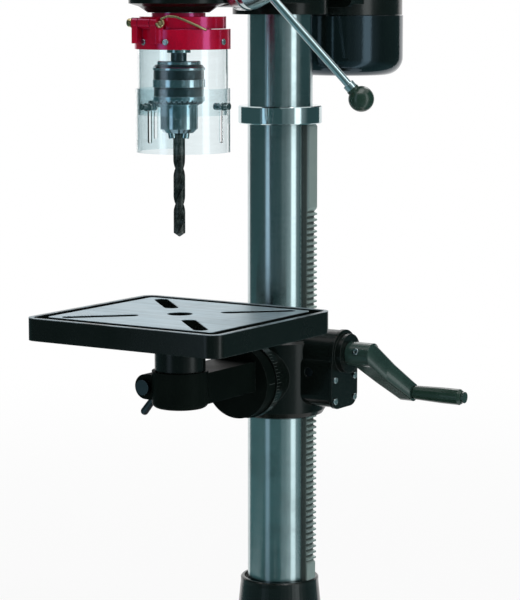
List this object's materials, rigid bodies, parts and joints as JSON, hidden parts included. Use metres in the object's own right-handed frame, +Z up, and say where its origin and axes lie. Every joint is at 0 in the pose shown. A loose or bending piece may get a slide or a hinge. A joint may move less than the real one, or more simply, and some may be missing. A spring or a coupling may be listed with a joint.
{
  "type": "benchtop drill press",
  "caption": "Benchtop drill press: cast base, steel column with rack, crank-lifted tilting table, belt-driven spindle with keyed chuck, flip-up guard and spoked quill feed.",
  "frame": {"origin": "on the bench, under the column's axis, midway between the rear pair of bench bolt holes", "axes": "+Z up along the column; -Y to the front, towards the operator; +X to the operator's right"},
  "size_m": [0.3323, 0.539, 0.9823],
  "materials": {
    "black_enamel": "gloss black enamel on cast iron and sheet steel",
    "table_iron": "machined top, black enamel skirt",
    "polished_steel": "ground and polished",
    "pulley_alloy": "turned",
    "dark_steel": "black oxide",
    "blued_steel": "blued, glossy",
    "crimson_paint": "gloss crimson",
    "clear_plastic": "clear polycarbonate",
    "zinc_wire": "yellow zinc plated",
    "black_plastic": "moulded, glossy",
    "belt_rubber": "matt rubber",
    "copper_winding": "varnished winding and laminations",
    "green_plastic": "moulded, glossy",
    "red_plastic": "moulded, glossy"
  },
  "bodies": {
    "frame": {"base": "black_enamel", "column_holder": "black_enamel", "holder_bolts": "dark_steel", "column": "polished_steel", "rack_collar": "polished_steel", "set_screws": "dark_steel", "head": "black_enamel", "spring_cap": "black_enamel", "return_spring": "dark_steel", "idler_post": "polished_steel", "belt_cover_tray": "black_enamel", "lid_hinge_pin": "polished_steel", "switch_box": "black_plastic", "cord_gland": "black_plastic", "tension_knobs": "black_plastic", "drive_belts": "belt_rubber"},
    "motor": {"motor_plate": "black_enamel", "motor_body": "black_enamel", "motor_fan_cover": "black_enamel", "motor_stator": "copper_winding"},
    "rotor": {"motor_rotor": "dark_steel", "motor_pulley": "pulley_alloy"},
    "idler": {"idler_pulley": "pulley_alloy"},
    "drive": {"spindle_pulley": "pulley_alloy"},
    "quill": {"quill": "polished_steel", "quill_bearings": "dark_steel", "guard_collar": "crimson_paint", "guard_hinge_pin": "zinc_wire"},
    "spindle": {"spindle": "polished_steel", "chuck_arbor": "dark_steel", "chuck_body": "blued_steel", "drill_bit": "blued_steel"},
    "chuck_ring": {"chuck_sleeve": "blued_steel"},
    "jaw_a": {"chuck_jaw_a": "blued_steel"},
    "jaw_b": {"chuck_jaw_b": "blued_steel"},
    "jaw_c": {"chuck_jaw_c": "blued_steel"},
    "feed": {"feed_shaft": "polished_steel", "feed_hub": "polished_steel", "feed_rods": "polished_steel", "feed_knobs": "black_plastic", "depth_ring": "polished_steel"},
    "lid": {"belt_cover_lid": "black_enamel"},
    "guard": {"guard_carrier": "crimson_paint", "guard_shield_upper": "clear_plastic", "guard_wing_screws": "zinc_wire"},
    "guard_slide": {"guard_shield_lower": "clear_plastic"},
    "start": {"start_button": "green_plastic"},
    "stop": {"stop_button": "red_plastic"},
    "rack": {"rack": "polished_steel"},
    "bracket": {"table_bracket": "black_enamel", "gear_cover": "black_enamel", "tilt_bolt": "polished_steel"},
    "pinion": {"lift_pinion": "dark_steel"},
    "crank": {"worm_shaft": "polished_steel", "crank_arm": "black_enamel"},
    "grip": {"crank_grip": "black_plastic"},
    "bracket_lock": {"bracket_lock_lever": "dark_steel"},
    "arm": {"table_arm": "black_enamel"},
    "table": {"table": "table_iron"},
    "table_lock": {"table_lock_lever": "dark_steel"}
  },
  "joints": [
    {"name": "motor_slide", "type": "slide", "parent": "frame", "child": "motor", "axis": [0, -1, 0], "range_m": [0, 0.01]},
    {"name": "motor_spin", "type": "hinge", "parent": "motor", "child": "rotor", "pos_m": [0, 0.136, 0.8], "axis": [0, 0, 1], "continuous": true},
    {"name": "idler_spin", "type": "hinge", "parent": "frame", "child": "idler", "pos_m": [0, -0.045, 0.93], "axis": [0, 0, 1], "continuous": true},
    {"name": "pulley_spin", "type": "hinge", "parent": "frame", "child": "drive", "pos_m": [0, -0.19, 0.93], "axis": [0, 0, 1], "continuous": true},
    {"name": "feed_turn", "type": "hinge", "parent": "frame", "child": "feed", "pos_m": [0, -0.15582, 0.769], "axis": [1, 0, 0], "range_deg": [0, 407], "stiffness_Nm_per_rad": 0.08, "springref_deg": -515.66},
    {"name": "quill_slide", "type": "slide", "parent": "frame", "child": "quill", "axis": [0, 0, -1], "range_m": [0, 0.08]},
    {"name": "spindle_spin", "type": "hinge", "parent": "quill", "child": "spindle", "pos_m": [0, -0.19, 0.75], "axis": [0, 0, 1], "continuous": true},
    {"name": "chuck_turn", "type": "hinge", "parent": "spindle", "child": "chuck_ring", "pos_m": [0, -0.19, 0.66], "axis": [0, 0, 1], "range_deg": [0, 1440]},
    {"name": "jaw_a_slide", "type": "slide", "parent": "spindle", "child": "jaw_a", "axis": [0.1736, 0, 0.9848], "range_m": [0, 0.00801]},
    {"name": "jaw_b_slide", "type": "slide", "parent": "spindle", "child": "jaw_b", "axis": [-0.0868, 0.1504, 0.9848], "range_m": [0, 0.00801]},
    {"name": "jaw_c_slide", "type": "slide", "parent": "spindle", "child": "jaw_c", "axis": [-0.0868, -0.1504, 0.9848], "range_m": [0, 0.00801]},
    {"name": "guard_flip", "type": "hinge", "parent": "quill", "child": "guard", "pos_m": [-0.00781, -0.23432, 0.724], "axis": [-0.9848, 0.1736, 0], "range_deg": [0, 90]},
    {"name": "guard_extend", "type": "slide", "parent": "guard", "child": "guard_slide", "axis": [0, 0, 1], "range_m": [0, 0.034]},
    {"name": "lid_open", "type": "hinge", "parent": "frame", "child": "lid", "pos_m": [-0.093, -0.03, 0.9023], "axis": [0, -1, 0], "range_deg": [0, 100]},
    {"name": "start_press", "type": "slide", "parent": "frame", "child": "start", "axis": [0, 1, 0], "range_m": [0, 0.004], "stiffness_N_per_m": 400, "springref_m": -0.004},
    {"name": "stop_press", "type": "slide", "parent": "frame", "child": "stop", "axis": [0, 1, 0], "range_m": [0, 0.004], "stiffness_N_per_m": 400, "springref_m": -0.004},
    {"name": "table_swing", "type": "hinge", "parent": "frame", "child": "rack", "pos_m": [0, 0, 0.345], "axis": [0, 0, 1], "range_deg": [-90, 90]},
    {"name": "table_crank", "type": "hinge", "parent": "bracket", "child": "crank", "pos_m": [0.1, 0, 0.372], "axis": [1, 0, 0], "range_deg": [-9741, 9168]},
    {"name": "table_lift", "type": "slide", "parent": "rack", "child": "bracket", "axis": [0, 0, 1], "range_m": [-0.17, 0.16]},
    {"name": "pinion_turn", "type": "hinge", "parent": "bracket", "child": "pinion", "pos_m": [0.0526, 0, 0.352], "axis": [0, 1, 0], "range_deg": [-764.5, 812]},
    {"name": "grip_spin", "type": "hinge", "parent": "crank", "child": "grip", "pos_m": [0.17, 0.03814, 0.32964], "axis": [1, 0, 0], "continuous": true},
    {"name": "bracket_lock_turn", "type": "hinge", "parent": "bracket", "child": "bracket_lock", "pos_m": [-0.062, 0, 0.345], "axis": [0, 1, 0], "range_deg": [-90, 20]},
    {"name": "table_tilt", "type": "hinge", "parent": "bracket", "child": "arm", "pos_m": [0, -0.1, 0.345], "axis": [0, -1, 0], "range_deg": [-45, 45]},
    {"name": "table_turn", "type": "hinge", "parent": "arm", "child": "table", "pos_m": [0, -0.19, 0.4], "axis": [0, 0, 1], "continuous": true},
    {"name": "table_lock_turn", "type": "hinge", "parent": "arm", "child": "table_lock", "pos_m": [-0.033, -0.19, 0.354], "axis": [0, 1, 0], "range_deg": [-10, 80]}
  ],
  "couplings": [
    {"joint": "idler_spin", "follows": "motor_spin", "ratio": 0.34199},
    {"joint": "pulley_spin", "follows": "motor_spin", "ratio": 0.21763},
    {"joint": "spindle_spin", "follows": "motor_spin", "ratio": 0.21763},
    {"joint": "quill_slide", "follows": "feed_turn", "m_per_rad": 0.01125},
    {"joint": "jaw_a_slide", "follows": "chuck_turn", "m_per_rad": 0.00031831},
    {"joint": "jaw_b_slide", "follows": "chuck_turn", "m_per_rad": 0.00031831},
    {"joint": "jaw_c_slide", "follows": "chuck_turn", "m_per_rad": 0.00031831},
    {"joint": "table_crank", "follows": "table_lift", "rad_per_m": 1000},
    {"joint": "pinion_turn", "follows": "table_lift", "rad_per_m": -83.333}
  ]
}
